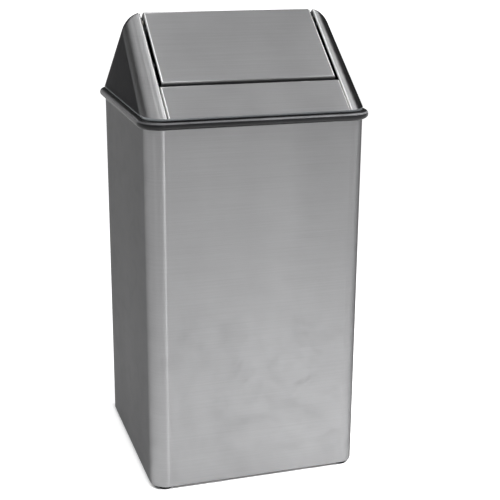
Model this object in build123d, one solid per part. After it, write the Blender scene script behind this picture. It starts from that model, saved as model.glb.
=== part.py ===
"""Square swing top trash can in sheet steel, in millimetres.

The origin is on the floor under the centre of the can, +Z is up and the front faces -Y.
"""
from build123d import *
import os
from math import atan2, cos, hypot, pi, radians, sin, tan

# Body: one wrapped sheet on a pan and four feet
BODY_WIDTH = 362.0
BODY_DEPTH = 362.0
BODY_HEIGHT = 617.6
CORNER_RADIUS = 28.5
SHEET = 1.0
HEM_HEIGHT = 10.0
BOTTOM_FLANGE = 26.0
SEAM_GAP = 0.4
SEAM_STRIP_WIDTH = 24.0
PAN_WALL = 14.0
PAN_CLEARANCE = 0.1

# Feet and their rivets
FOOT_HEIGHT = 5.0
FOOT_RADIUS = 9.4
FOOT_TAPER = 1.4
FOOT_FROM_SIDE = 24.0
FOOT_FROM_FRONT = 14.5
FOOT_RECESS_RADIUS = 4.6
FOOT_RECESS_DEPTH = 3.0
RIVET_RADIUS = 1.6
RIVET_HEAD_RADIUS = 2.9
RIVET_HEAD_HEIGHT = 1.1
RIVET_CLEARANCE = 0.05

# Vinyl bumper on the rim
TRIM_HEIGHT = 13.5
TRIM_REACH = 9.5
TRIM_ROUNDING = 6.6
TRIM_WEB = 2.0
TRIM_LIP = 1.6
TRIM_CLEARANCE = 0.1
TRIM_BUTT_GAP = 0.4

# Hood outline
SHADOW_GAP = 4.7
GABLE_OVERHANG = 2.0
SLOPE_OVERHANG = 8.4
ROOF_RISE = 142.2
RIDGE_RADIUS = 6.5
APEX_RADIUS = 13.0
HIP_RADIUS = 27.5
GABLE_LEAN = 2.1
CAP_WIDTH = 34.4
RETURN_DEPTH = 8.0
HEM_PAST_RIVETS = 4.5
BEND_RADIUS = 1.4
PANEL_SEAM = 0.3
HIP_STATIONS = 7

# Hood frame, a rolled ring on the rim
FRAME_SKIRT_DEPTH = 24.0
FRAME_CLEARANCE = 1.0
FRAME_RISER_INSET = 0.5
FRAME_RIVET_INSET = 5.0
FRAME_RIVET_SPACING = 92.0

# Swing door and its pivot
SIDE_GAP = 4.6
DOOR_SLOPE = 162.0
DOOR_GAP = 6.5
PIVOT_CLEARANCE = 1.5
BRACKET_THICKNESS = 2.0
HANGER_THICKNESS = 1.5
PLATE_BELOW_PIVOT = 18.0
PLATE_INSET = 0.4
PLATE_ROUNDING = 5.0
PLATE_RIVET_START = 17.0
PLATE_RIVET_PITCH = 19.0
ROD_RADIUS = 3.0
ROD_END = 2.4
RUNNING_CLEARANCE = 0.05
BUSHING_WALL = 2.0
BUSHING_FLANGE_RADIUS = 6.5
BUSHING_FLANGE = 1.6
END_PLAY = 0.3
SPACER_WALL = 1.8
RETAINER_RADIUS = 5.5
RETAINER_THICKNESS = 1.2
PANEL_RIVET_MARGIN = 16.0

# Rigid liner
LINER_HEADROOM = 11.7
LINER_WALL = 2.4
LINER_BASE_GAP = 21.0
LINER_TOP_GAP = 12.0
LINER_CORNER = 26.0
LINER_RIM_WIDTH = 5.0
LINER_RIM_DROP = 12.0
LINER_ROUNDING = 7.0
HAND_HOLE_WIDTH = 96.0
HAND_HOLE_HEIGHT = 28.0
HAND_HOLE_DROP = 26.0

# Levels and half sizes worked out from the above
HALF_X = BODY_WIDTH / 2
HALF_Y = BODY_DEPTH / 2
RIM_TOP = FOOT_HEIGHT + BODY_HEIGHT
PAN_TOP = FOOT_HEIGHT + 2 * SHEET
TRIM_TOP = RIM_TOP + TRIM_CLEARANCE + TRIM_WEB
HOOD_BASE = TRIM_TOP + SHADOW_GAP
GABLE_HALF = HALF_X + GABLE_OVERHANG
EAVE_HALF = HALF_Y + SLOPE_OVERHANG
RIDGE = HOOD_BASE + ROOF_RISE
PITCH = atan2(ROOF_RISE, EAVE_HALF)
SLOPE_LENGTH = hypot(ROOF_RISE, EAVE_HALF)
CAP_EDGE = GABLE_HALF - CAP_WIDTH
DOOR_HALF = CAP_EDGE - SIDE_GAP
PANEL_HALF = CAP_EDGE - PANEL_SEAM
PANEL_START = DOOR_SLOPE + DOOR_GAP
PIVOT_DROP = (RETURN_DEPTH + BUSHING_FLANGE_RADIUS + PIVOT_CLEARANCE) / cos(PITCH)
PIVOT = RIDGE - PIVOT_DROP
DOOR_SWEEP = hypot(DOOR_SLOPE * cos(PITCH), DOOR_SLOPE * sin(PITCH) - PIVOT_DROP)
BRACKET_INNER = CAP_EDGE + SHEET
BRACKET_OUTER = BRACKET_INNER + BRACKET_THICKNESS
HANGER_OUTER = DOOR_HALF - SHEET
HANGER_INNER = HANGER_OUTER - HANGER_THICKNESS
BUSHING_END = BRACKET_OUTER
BUSHING_RADIUS = ROD_RADIUS + RUNNING_CLEARANCE + BUSHING_WALL
ROD_HALF = BUSHING_END + END_PLAY + RETAINER_THICKNESS + ROD_END
RIVET_DEPTH = RETURN_DEPTH / 2 + SHEET / 2
FRAME_RIVET_X = HALF_X - FRAME_RISER_INSET - FRAME_RIVET_INSET
FRAME_RIVET_Y = HALF_Y - FRAME_RISER_INSET - FRAME_RIVET_INSET
LINER_TOP = PIVOT - DOOR_SWEEP - LINER_HEADROOM


def rounded(half_x, half_y, corner):
    """Rectangle with round corners, centred on the origin."""
    return RectangleRounded(2 * half_x, 2 * half_y, corner)


def slab(outline, low, high):
    """Prism of an outline between two heights."""
    return extrude(Pos(0, 0, low) * outline, amount=high - low)


def ring(half_x, half_y, corner, width, low, high):
    """Upright band of a given width inside a rounded rectangle."""
    hole = rounded(half_x - width, half_y - width, max(corner - width, 0.5))
    return slab(rounded(half_x, half_y, corner) - hole, low, high)


def box_between(low, high):
    """Box from its low corner to its high corner."""
    size = [b - a for a, b in zip(low, high)]
    middle = [(a + b) / 2 for a, b in zip(low, high)]
    return Pos(*middle) * Box(*size)


def write(node, shape):
    """Write one node as a STEP file."""
    export_step(shape, f"parts/{node}.step")


def slope_point(along, depth, side=-1):
    """(y, z) of a point down one roof slope from the sharp ridge, at a depth under its outer face."""
    y = along * cos(PITCH) - depth * sin(PITCH)
    z = RIDGE - along * sin(PITCH) - depth * cos(PITCH)
    return side * y, z


def side_profile(points):
    """Face in the YZ plane, from (y, z) points."""
    return make_face(Plane.YZ * Polyline(*points, close=True))


def along_x(profile, start, end):
    """Prism of a YZ profile between two X positions."""
    return extrude(Pos(start, 0, 0) * profile, amount=end - start, dir=(1, 0, 0))


def rod_along_x(radius, start, end, y=0.0, z=0.0):
    """Cylinder along X between two positions."""
    return Pos((start + end) / 2, y, z) * Rot(0, 90, 0) * Cylinder(radius, abs(end - start))


def rivet(joint_length):
    """Rivet along Z with its two heads, centred on the joint that it holds."""
    shank = Cylinder(RIVET_RADIUS, joint_length)
    head = Cone(RIVET_HEAD_RADIUS, RIVET_HEAD_RADIUS * 0.6, RIVET_HEAD_HEIGHT)
    lift = (joint_length + RIVET_HEAD_HEIGHT) / 2
    return shank + Pos(0, 0, lift) * head + Pos(0, 0, -lift) * Rot(180, 0, 0) * head


# Body


def body_corner(inset):
    """Corner radius of an outline that lies a given distance inside the body's outer face."""
    return max(CORNER_RADIUS - inset, 0.5)


def body_ring(inset, width, low, high):
    """Band that follows the body's outline at a given distance inside its outer face."""
    return ring(HALF_X - inset, HALF_Y - inset, body_corner(inset), width, low, high)


def foot_places():
    """Centres of the four feet, with their names."""
    x = HALF_X - FOOT_FROM_SIDE
    y = HALF_Y - FOOT_FROM_FRONT
    return {
        "foot_front_left": (-x, -y),
        "foot_front_right": (x, -y),
        "foot_rear_left": (-x, y),
        "foot_rear_right": (x, y),
    }


def foot_holes(low, high):
    """Clearance holes for the foot rivets between two heights."""
    hole = Cylinder(RIVET_RADIUS + RIVET_CLEARANCE, high - low)
    middle = (low + high) / 2
    return [Pos(x, y, middle) * hole for x, y in foot_places().values()]


def body_shell():
    """Wrapped sheet with a hemmed rim, an inturned bottom flange and a butt seam at the rear."""
    wall = body_ring(0, SHEET, FOOT_HEIGHT, RIM_TOP)
    hem = body_ring(SHEET / 2, 1.5 * SHEET, RIM_TOP - HEM_HEIGHT, RIM_TOP)
    flange = body_ring(0, BOTTOM_FLANGE, FOOT_HEIGHT, FOOT_HEIGHT + SHEET)
    shell = wall + hem + flange
    bottom_edges = shell.edges().group_by(Axis.Z)[0]
    outline = [e for e in bottom_edges if abs(e.center().X) > HALF_X - SHEET / 2
               or abs(e.center().Y) > HALF_Y - SHEET / 2
               or hypot(e.center().X, e.center().Y) > hypot(HALF_X, HALF_Y) - CORNER_RADIUS]
    shell = fillet(outline, 0.8 * SHEET)
    seam = box_between(
        (-SEAM_GAP / 2, HALF_Y - BOTTOM_FLANGE - SHEET, FOOT_HEIGHT - SHEET),
        (SEAM_GAP / 2, HALF_Y + SHEET, RIM_TOP + SHEET),
    )
    return shell - seam - foot_holes(FOOT_HEIGHT - SHEET, FOOT_HEIGHT + 2 * SHEET)


def seam_strip():
    """Flat strip welded behind the butt seam, from the pan's wall to the hem."""
    low = PAN_TOP + PAN_WALL
    half = SEAM_STRIP_WIDTH / 2
    return box_between(
        (-half, HALF_Y - 2 * SHEET, low),
        (half, HALF_Y - SHEET, RIM_TOP - HEM_HEIGHT - TRIM_HEIGHT),
    )


def bottom_pan():
    """Pan that closes the bottom, with its edge turned up against the shell."""
    inset = SHEET + PAN_CLEARANCE
    half_x, half_y, corner = HALF_X - inset, HALF_Y - inset, body_corner(inset)
    low = FOOT_HEIGHT + SHEET
    floor = slab(rounded(half_x, half_y, corner), low, low + SHEET)
    wall = body_ring(inset, SHEET, low, PAN_TOP + PAN_WALL)
    return floor + wall - foot_holes(low - SHEET, low + 2 * SHEET)


def foot():
    """Low round glide with a recess for its rivet, standing on the floor."""
    glide = Pos(0, 0, FOOT_HEIGHT / 2) * Cone(FOOT_RADIUS - FOOT_TAPER, FOOT_RADIUS, FOOT_HEIGHT)
    recess = Cylinder(FOOT_RECESS_RADIUS, FOOT_RECESS_DEPTH)
    hole = Cylinder(RIVET_RADIUS + RIVET_CLEARANCE, 3 * FOOT_HEIGHT)
    return glide - Pos(0, 0, FOOT_RECESS_DEPTH / 2) * recess - hole


def foot_rivets():
    """One rivet a foot, through the foot, the shell's flange and the pan."""
    grip = PAN_TOP - FOOT_RECESS_DEPTH
    middle = (PAN_TOP + FOOT_RECESS_DEPTH) / 2
    return Compound([Pos(x, y, middle) * rivet(grip) for x, y in foot_places().values()])


def bumper_trim():
    """Vinyl channel pressed over the hemmed rim, with a round bead outside and a thin lip inside."""
    low = TRIM_TOP - TRIM_HEIGHT
    inner = 2 * SHEET + TRIM_CLEARANCE + TRIM_LIP
    bead = slab(
        rounded(HALF_X + TRIM_REACH, HALF_Y + TRIM_REACH, CORNER_RADIUS + TRIM_REACH), low, TRIM_TOP
    )
    bead = fillet(bead.edges().filter_by(Axis.Z, reverse=True), TRIM_ROUNDING)
    bead -= slab(
        rounded(HALF_X - inner, HALF_Y - inner, body_corner(inner)), low - SHEET, TRIM_TOP + SHEET
    )
    groove_width = 2 * SHEET + 2 * TRIM_CLEARANCE
    groove = body_ring(-TRIM_CLEARANCE, groove_width, low - SHEET, RIM_TOP + TRIM_CLEARANCE)
    butt = box_between(
        (-TRIM_BUTT_GAP / 2, HALF_Y - 2 * TRIM_REACH, low - SHEET),
        (TRIM_BUTT_GAP / 2, HALF_Y + 2 * TRIM_REACH, TRIM_TOP + SHEET),
    )
    return bead - groove - butt


# Liner


def liner_tub(inset, low):
    """Tapered tub from a height up to the liner's top, with its walls drawn in by an inset."""
    base = rounded(
        HALF_X - LINER_BASE_GAP - inset, HALF_Y - LINER_BASE_GAP - inset, LINER_CORNER - inset
    )
    mouth = rounded(
        HALF_X - LINER_TOP_GAP - inset, HALF_Y - LINER_TOP_GAP - inset, LINER_CORNER - inset
    )
    tub = loft([Pos(0, 0, low) * base, Pos(0, 0, LINER_TOP) * mouth], ruled=True)
    return fillet(tub.faces().sort_by(Axis.Z)[0].edges(), LINER_ROUNDING - inset)


def liner():
    """Rigid moulded tub with a turned-down rim and a hand hole in each side wall."""
    top = LINER_TOP
    tub = liner_tub(0, PAN_TOP) - liner_tub(LINER_WALL, PAN_TOP + LINER_WALL)
    rim_gap = LINER_TOP_GAP - LINER_RIM_WIDTH
    rim_half_x, rim_half_y = HALF_X - rim_gap, HALF_Y - rim_gap
    rim_corner = LINER_CORNER + LINER_RIM_WIDTH
    shelf = ring(rim_half_x, rim_half_y, rim_corner, LINER_RIM_WIDTH + LINER_WALL, top - LINER_WALL, top)
    skirt = ring(rim_half_x, rim_half_y, rim_corner, LINER_WALL, top - LINER_RIM_DROP, top)
    rim = shelf + skirt - liner_tub(LINER_WALL, PAN_TOP + LINER_WALL)
    hole = Pos(0, 0, top - HAND_HOLE_DROP - HAND_HOLE_HEIGHT / 2) * Rot(0, 90, 0) * extrude(
        SlotOverall(HAND_HOLE_WIDTH, HAND_HOLE_HEIGHT, rotation=90), HALF_X, both=True
    )
    return tub + rim - hole


# Hood


def hip_slice(turn, inset):
    """One slice of the right end of the hood, parallel to its leaning gable, with a sharp apex.

    turn goes from 0 at the gable's flat face to a quarter turn where the hip's rounding ends on
    the slopes. inset is how far the slice lies under the outer faces, for the sheet's inner side.
    """
    radius = HIP_RADIUS - inset
    from_gable = HIP_RADIUS - radius * cos(turn)
    from_slopes = HIP_RADIUS - radius * sin(turn)
    lean = radians(GABLE_LEAN)
    level = HOOD_BASE - from_gable * sin(lean)
    room = (RIDGE - level) * cos(PITCH) - from_slopes
    apex = room / (cos(lean) * cos(PITCH))
    foot_y = (room + RETURN_DEPTH * cos(lean) * cos(PITCH)) / sin(PITCH)
    outline = make_face(Polyline((-foot_y, -RETURN_DEPTH), (foot_y, -RETURN_DEPTH), (0, apex), close=True))
    origin = (GABLE_HALF - from_gable * cos(lean), 0, level)
    return outline, Plane(origin=origin, x_dir=(0, 1, 0), z_dir=(cos(lean), 0, sin(lean)))


def hood_end(inset):
    """Solid of the hood's right end: the hips as a loft of slices, run on inwards as a prism."""
    outline, plane = hip_slice(pi / 2, inset)
    straight = extrude(plane * outline, amount=CAP_WIDTH, dir=(-1, 0, 0))
    ridge = straight.edges().filter_by(Axis.X).sort_by(Axis.Z)[-1]
    straight = fillet(ridge, RIDGE_RADIUS - inset)
    slices = []
    for station in range(HIP_STATIONS - 1):
        turn = station * pi / 2 / (HIP_STATIONS - 1)
        outline, plane = hip_slice(turn, inset)
        apex_radius = RIDGE_RADIUS + (APEX_RADIUS - RIDGE_RADIUS) * cos(turn) - inset
        slices.append(plane * fillet(outline.vertices().sort_by(Axis.Y)[-1], apex_radius))
    return loft([*slices, straight.faces().sort_by(Axis.X)[-1]]) + straight


def roof_profile(inset):
    """Gabled outline above the hood's base, with its slopes and bent ridge drawn in by an inset."""
    foot_y = EAVE_HALF - inset / sin(PITCH)
    apex = RIDGE - inset / cos(PITCH)
    outline = make_face(Polyline((-foot_y, HOOD_BASE), (foot_y, HOOD_BASE), (0, apex), close=True))
    if inset < RIDGE_RADIUS:
        outline = fillet(outline.vertices().sort_by(Axis.Y)[-1], RIDGE_RADIUS - inset)
    return Plane.YZ * outline


def slope_strip(start, end, side):
    """Profile of a strip of one slope between two distances from the sharp ridge, past its returns."""
    return side_profile([
        slope_point(start, -SHEET, side),
        slope_point(end, -SHEET, side),
        slope_point(end, RETURN_DEPTH + SHEET, side),
        slope_point(start, RETURN_DEPTH + SHEET, side),
    ])


def door_chevron(end):
    """Profile of a band over the ridge, down to a distance on both slopes, past its returns."""
    top, bottom = -SHEET, RETURN_DEPTH + SHEET
    return side_profile([
        slope_point(end, top, -1),
        (0, RIDGE - top / cos(PITCH)),
        slope_point(end, top, 1),
        slope_point(end, bottom, 1),
        (0, RIDGE - bottom / cos(PITCH)),
        slope_point(end, bottom, -1),
    ])


def slope_face(solid, side):
    """The outer face that a solid has on one slope."""
    outward = Axis((0, 0, 0), (0, side * sin(PITCH), cos(PITCH)))
    return solid.faces().sort_by(outward)[-1]


def hinge_plate(start, end, hole_radius):
    """Gusset under the ridge with the pivot's hole, between two X positions."""
    apex = RIDGE - (SHEET + PLATE_INSET) / cos(PITCH)
    low = PIVOT - PLATE_BELOW_PIVOT
    half = (apex - low) / tan(PITCH)
    outline = make_face(Polyline((-half, low), (half, low), (0, apex), close=True))
    plate = along_x(Plane.YZ * fillet(outline.vertices(), PLATE_ROUNDING), start, end)
    holes = holes_along_x(plate_rivet_places(), start - SHEET, end + SHEET)
    return plate - rod_along_x(hole_radius, start - SHEET, end + SHEET, 0, PIVOT) - holes


def plate_rivet_places():
    """(y, z) of the rivets that hold a gusset to the returns beside it."""
    distances = (PLATE_RIVET_START, PLATE_RIVET_START + PLATE_RIVET_PITCH)
    return [slope_point(along, RIVET_DEPTH, side) for side in (-1, 1) for along in distances]


def panel_rivet_places():
    """(y, z) of the rivets that hold the lower panels' side returns to the end caps."""
    distances = (PANEL_START + PANEL_RIVET_MARGIN, SLOPE_LENGTH - PANEL_RIVET_MARGIN)
    return [slope_point(along, RIVET_DEPTH, side) for side in (-1, 1) for along in distances]


def frame_rivet_places():
    """(x, y) of the rivets that hold the caps and the lower panels to the frame."""
    steps = [step * FRAME_RIVET_SPACING for step in (-1, 0, 1)]
    front_and_rear = [(step, side * FRAME_RIVET_Y) for side in (-1, 1) for step in steps]
    ends = [(side * FRAME_RIVET_X, step) for side in (-1, 1) for step in steps]
    return front_and_rear + ends


def holes_along_x(places, start, end):
    """Rivet holes through upright sheet between two X positions, and their mirror images."""
    radius = RIVET_RADIUS + RIVET_CLEARANCE
    right = [rod_along_x(radius, start, end, y, z) for y, z in places]
    left = [rod_along_x(radius, -end, -start, y, z) for y, z in places]
    return right + left


def rivets_along_x(places, start, end):
    """Rivets through a joint between two X positions, at both ends of the hood."""
    middle = (start + end) / 2
    lying = Rot(0, 90, 0) * rivet(end - start)
    return Compound([Pos(side * middle, y, z) * lying for side in (-1, 1) for y, z in places])


def frame_holes():
    """Rivet holes through the hems and the frame's flange."""
    hole = Cylinder(RIVET_RADIUS + RIVET_CLEARANCE, 4 * SHEET)
    return [Pos(x, y, HOOD_BASE) * hole for x, y in frame_rivet_places()]


def frame_rivets():
    """Rivets down through each hem and the frame's flange."""
    return Compound([Pos(x, y, HOOD_BASE) * rivet(2 * SHEET) for x, y in frame_rivet_places()])


def hood_frame():
    """Rolled ring: a skirt inside the rim, a step that rests on it, a riser and a flange."""
    skirt_inset = 2 * SHEET + TRIM_CLEARANCE + TRIM_LIP + FRAME_CLEARANCE
    skirt = body_ring(skirt_inset, SHEET, TRIM_TOP - FRAME_SKIRT_DEPTH, TRIM_TOP + SHEET)
    step_width = skirt_inset + SHEET - FRAME_RISER_INSET
    step = body_ring(FRAME_RISER_INSET, step_width, TRIM_TOP, TRIM_TOP + SHEET)
    riser = body_ring(FRAME_RISER_INSET, SHEET, TRIM_TOP, HOOD_BASE)
    flange = body_ring(FRAME_RISER_INSET, 2 * FRAME_RIVET_INSET, HOOD_BASE - SHEET, HOOD_BASE)
    return skirt + step + riser + flange - frame_holes()


def end_cap():
    """Right end cap: gable, rounded hips, an inturned base hem and a return beside the door."""
    low, high = -EAVE_HALF - SHEET, EAVE_HALF + SHEET
    bend_end = CAP_EDGE + BEND_RADIUS
    strip = along_x(roof_profile(0), CAP_EDGE, CAP_EDGE + CAP_WIDTH)
    bend = strip.faces().sort_by(Axis.X)[0].edges().sort_by(Axis.Z)[1:]
    strip = fillet(bend, BEND_RADIUS)
    strip = strip & box_between((CAP_EDGE - SHEET, low, HOOD_BASE), (bend_end, high, RIDGE))
    hips = hood_end(0) & box_between((bend_end, low, HOOD_BASE), (GABLE_HALF + SHEET, high, RIDGE))
    outer = strip + hips
    hem_layer = box_between(
        (CAP_EDGE - SHEET, low, HOOD_BASE), (GABLE_HALF + SHEET, high, HOOD_BASE + SHEET)
    )
    opening = rounded(
        FRAME_RIVET_X - HEM_PAST_RIVETS, FRAME_RIVET_Y - HEM_PAST_RIVETS, CORNER_RADIUS
    )
    hem = (outer & hem_layer) - slab(opening, HOOD_BASE - SHEET, HOOD_BASE + 2 * SHEET)
    band = roof_profile(0) - roof_profile(RETURN_DEPTH)
    edge_return = outer & along_x(band, CAP_EDGE, CAP_EDGE + SHEET)
    cap = (outer - hood_end(SHEET)) + hem + edge_return
    places = plate_rivet_places() + panel_rivet_places()
    return cap - holes_along_x(places, CAP_EDGE - SHEET, CAP_EDGE + 2 * SHEET) - frame_holes()


def lower_panel(side):
    """Fixed panel of one slope below the door, with returns on three edges and a base hem."""
    strip = slope_strip(PANEL_START, SLOPE_LENGTH + RETURN_DEPTH, side)
    band = roof_profile(0) - roof_profile(RETURN_DEPTH)
    plate = along_x(band & strip, -PANEL_HALF, PANEL_HALF)
    plate = fillet(slope_face(plate, side).edges().sort_by(Axis.Z)[1:], BEND_RADIUS)
    inner_strip = slope_strip(PANEL_START + SHEET, SLOPE_LENGTH + RETURN_DEPTH, side)
    plate -= along_x(roof_profile(SHEET) & inner_strip, SHEET - PANEL_HALF, PANEL_HALF - SHEET)
    hem_low, hem_high = sorted((side * (FRAME_RIVET_Y - HEM_PAST_RIVETS), side * EAVE_HALF))
    hem = along_x(roof_profile(0), -PANEL_HALF, PANEL_HALF) & box_between(
        (-PANEL_HALF, hem_low, HOOD_BASE), (PANEL_HALF, hem_high, HOOD_BASE + SHEET)
    )
    holes = holes_along_x(panel_rivet_places(), PANEL_HALF - 2 * SHEET, PANEL_HALF + SHEET)
    return plate + hem - holes - frame_holes()


# Swing door


def door_panel():
    """Sheet bent over the ridge, with returns along its sides and its two lower edges."""
    band = roof_profile(0) - roof_profile(RETURN_DEPTH)
    block = along_x(band & door_chevron(DOOR_SLOPE), -DOOR_HALF, DOOR_HALF)
    slopes = [slope_face(block, side) for side in (-1, 1)]
    ridge = block.faces().sort_by(Axis.Z)[-1]
    outer_edges = [edge for face in (*slopes, ridge) for edge in face.edges()]
    bends = [edge for edge in outer_edges if abs(edge.center().X) > DOOR_HALF - SHEET / 2]
    bends += [face.edges().filter_by(Axis.X).sort_by(Axis.Z)[0] for face in slopes]
    block = fillet(bends, BEND_RADIUS)
    hollow = roof_profile(SHEET) & door_chevron(DOOR_SLOPE - SHEET)
    panel = block - along_x(hollow, SHEET - DOOR_HALF, DOOR_HALF - SHEET)
    return panel - holes_along_x(plate_rivet_places(), DOOR_HALF - 2 * SHEET, DOOR_HALF + SHEET)


def pivot_rod():
    """Full-width steel rod that the door turns on."""
    return rod_along_x(ROD_RADIUS, -ROD_HALF, ROD_HALF, 0, PIVOT)


def ring_on_rod(bore, radius, start, end):
    """Ring around the rod between two X positions."""
    body = rod_along_x(radius, start, end, 0, PIVOT)
    return body - rod_along_x(bore, start - SHEET, end + SHEET, 0, PIVOT)


def bushing():
    """Flanged plastic bushing in the right bracket."""
    bore = ROD_RADIUS + RUNNING_CLEARANCE
    shank = ring_on_rod(bore, BUSHING_RADIUS, BRACKET_INNER, BUSHING_END)
    start = BRACKET_INNER - BUSHING_FLANGE
    return shank + ring_on_rod(bore, BUSHING_FLANGE_RADIUS, start, BRACKET_INNER)


def spacer():
    """Tube on the rod that keeps the door midway between the end caps."""
    bore = ROD_RADIUS + RIVET_CLEARANCE
    end = BRACKET_INNER - BUSHING_FLANGE - END_PLAY
    return ring_on_rod(bore, bore + SPACER_WALL, HANGER_OUTER, end)


def rod_retainers():
    """Pair of push-on rings that keep the rod in its bushings."""
    start = BUSHING_END + END_PLAY
    right = ring_on_rod(
        ROD_RADIUS + RIVET_CLEARANCE, RETAINER_RADIUS, start, start + RETAINER_THICKNESS
    )
    return Compound([right, right.mirror(Plane.YZ)])


def write_pair(node, right):
    """Write a piece of the right end and its mirror image on the left."""
    write(f"right_{node}", right)
    write(f"left_{node}", right.mirror(Plane.YZ))


def main():
    """Write every node of the can."""
    os.makedirs("parts", exist_ok=True)
    write("body_shell", body_shell())
    write("seam_strip", seam_strip())
    write("bottom_pan", bottom_pan())
    for node, (x, y) in foot_places().items():
        write(node, Pos(x, y, 0) * foot())
    write("foot_rivets", foot_rivets())
    write("bumper_trim", bumper_trim())
    write("liner", liner())
    write("hood_frame", hood_frame())
    write_pair("end_cap", end_cap())
    write("front_lower_panel", lower_panel(-1))
    write("rear_lower_panel", lower_panel(1))
    write("panel_rivets", rivets_along_x(panel_rivet_places(), PANEL_HALF - SHEET, CAP_EDGE + SHEET))
    write("frame_rivets", frame_rivets())
    bracket_hole = BUSHING_RADIUS + RIVET_CLEARANCE
    write_pair("pivot_bracket", hinge_plate(BRACKET_INNER, BRACKET_OUTER, bracket_hole))
    write("bracket_rivets", rivets_along_x(plate_rivet_places(), CAP_EDGE, BRACKET_OUTER))
    write_pair("bushing", bushing())
    write("door_panel", door_panel())
    hanger_hole = ROD_RADIUS + RIVET_CLEARANCE
    write_pair("door_hanger", hinge_plate(HANGER_INNER, HANGER_OUTER, hanger_hole))
    write("hanger_rivets", rivets_along_x(plate_rivet_places(), HANGER_INNER, DOOR_HALF))
    write("pivot_rod", pivot_rod())
    write_pair("spacer", spacer())
    write("rod_retainers", rod_retainers())


main()
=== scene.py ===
"""Looks of the square swing top trash can: finishes, finer pieces, studio and camera.

Everything is in metres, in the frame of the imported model: +Z up, the front faces -Y, the ridge runs along X.
"""
import logging
import math
from dataclasses import dataclass, field
from enum import Enum

import bmesh
import bpy
from mathutils import Matrix, Vector


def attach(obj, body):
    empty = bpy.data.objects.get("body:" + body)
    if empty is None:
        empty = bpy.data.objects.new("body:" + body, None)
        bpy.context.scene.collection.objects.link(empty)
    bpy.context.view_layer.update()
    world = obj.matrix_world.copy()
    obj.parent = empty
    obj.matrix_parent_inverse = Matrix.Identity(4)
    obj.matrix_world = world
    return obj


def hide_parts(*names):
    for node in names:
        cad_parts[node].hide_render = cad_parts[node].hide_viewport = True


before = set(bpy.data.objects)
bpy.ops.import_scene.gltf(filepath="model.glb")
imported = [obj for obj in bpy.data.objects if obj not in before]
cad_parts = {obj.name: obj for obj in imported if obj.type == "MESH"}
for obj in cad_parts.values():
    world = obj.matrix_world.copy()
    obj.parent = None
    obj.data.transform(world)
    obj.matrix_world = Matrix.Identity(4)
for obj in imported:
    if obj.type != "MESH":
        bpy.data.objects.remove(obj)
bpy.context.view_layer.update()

MM = 0.001
# Points closer than this, in millimetres, count as one
TOUCH = 0.001
# Place of a sheet's second material, the one on its bends, whose lighter colour paints a highlight there
BEND_HIGHLIGHT = 1
log = logging.getLogger("trash_can")


class Body(Enum):
    """The bodies that pieces ride on."""

    CAN = "can"
    HOOD = "hood"
    DOOR = "door"


class Slot(Enum):
    """The record's material slots for the new pieces; nothing here uses them."""

    SHEET = "stainless_sheet"
    VINYL = "vinyl_trim"
    RUBBER = "foot_rubber"


# Colour and node helpers


def linear(hex_colour: str) -> tuple[float, float, float, float]:
    """Turn an sRGB hex colour to linear light.

    Args:
        hex_colour: Colour such as "#A6A6A8".

    Returns:
        Linear red, green and blue, with an alpha of one.
    """
    channels = [int(hex_colour[i : i + 2], 16) / 255 for i in (1, 3, 5)]
    red, green, blue = (c / 12.92 if c <= 0.04045 else ((c + 0.055) / 1.055) ** 2.4 for c in channels)
    return red, green, blue, 1.0


def add_node(
    tree: bpy.types.NodeTree, kind: str, settings: dict | None = None, links: dict | None = None
) -> bpy.types.Node:
    """Add a node with its settings and links.

    Args:
        tree: Node tree that gets the node.
        kind: Blender's node type.
        settings: Properties by name, and input values by socket name or number.
        links: Sources by the input's socket name or number.

    Returns:
        The new node.
    """
    node = tree.nodes.new(kind)
    for name, value in (settings or {}).items():
        if isinstance(name, str) and hasattr(node, name):
            setattr(node, name, value)
        else:
            node.inputs[name].default_value = value
    for name, source in (links or {}).items():
        tree.links.new(source, node.inputs[name])
    return node


def new_material(name: str) -> tuple[bpy.types.Material, bpy.types.NodeTree]:
    """Make an empty node material.

    Args:
        name: The real material's name.

    Returns:
        The material and its node tree.
    """
    material = bpy.data.materials.new(name)
    material.use_nodes = True
    material.node_tree.nodes.clear()
    return material, material.node_tree


def per_mm(x: float, y: float, z: float) -> tuple[float, float, float]:
    """Scale of a pattern whose features are this many millimetres long, on coordinates in metres."""
    return 1 / (x * MM), 1 / (y * MM), 1 / (z * MM)


def pattern(
    tree: bpy.types.NodeTree, place: bpy.types.NodeSocket, size: tuple[float, float, float], settings: dict
) -> bpy.types.NodeSocket:
    """Lay a noise pattern with features of a real size.

    Args:
        tree: The node tree to add to.
        place: Coordinates in metres.
        size: Length of the features along x, y and z in millimetres.
        settings: The noise's detail, roughness and distortion.

    Returns:
        The pattern, from 0 to 1.
    """
    at = add_node(tree, "ShaderNodeMapping", {"Scale": per_mm(*size)}, {"Vector": place})
    return add_node(
        tree, "ShaderNodeTexNoise", {"Scale": 1.0, **settings}, {"Vector": at.outputs["Vector"]}
    ).outputs["Fac"]


def maths(tree: bpy.types.NodeTree, operation: str, *terms: bpy.types.NodeSocket) -> bpy.types.NodeSocket:
    """Work out an operation on one or two values."""
    node = add_node(tree, "ShaderNodeMath", {"operation": operation}, dict(enumerate(terms)))
    return node.outputs["Value"]


def remap(
    tree: bpy.types.NodeTree, value: bpy.types.NodeSocket, start: tuple[float, float],
    end: tuple[float, float] = (0.0, 1.0),
) -> bpy.types.NodeSocket:
    """Carry a value from one range to another, and keep it inside that."""
    ranges = dict(zip(("From Min", "From Max", "To Min", "To Max"), (*start, *end)))
    return add_node(tree, "ShaderNodeMapRange", ranges, {"Value": value}).outputs["Result"]


def about(middle: float, spread: float) -> tuple[float, float]:
    """The range that reaches this far to both sides of its middle."""
    return middle - spread, middle + spread


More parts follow.
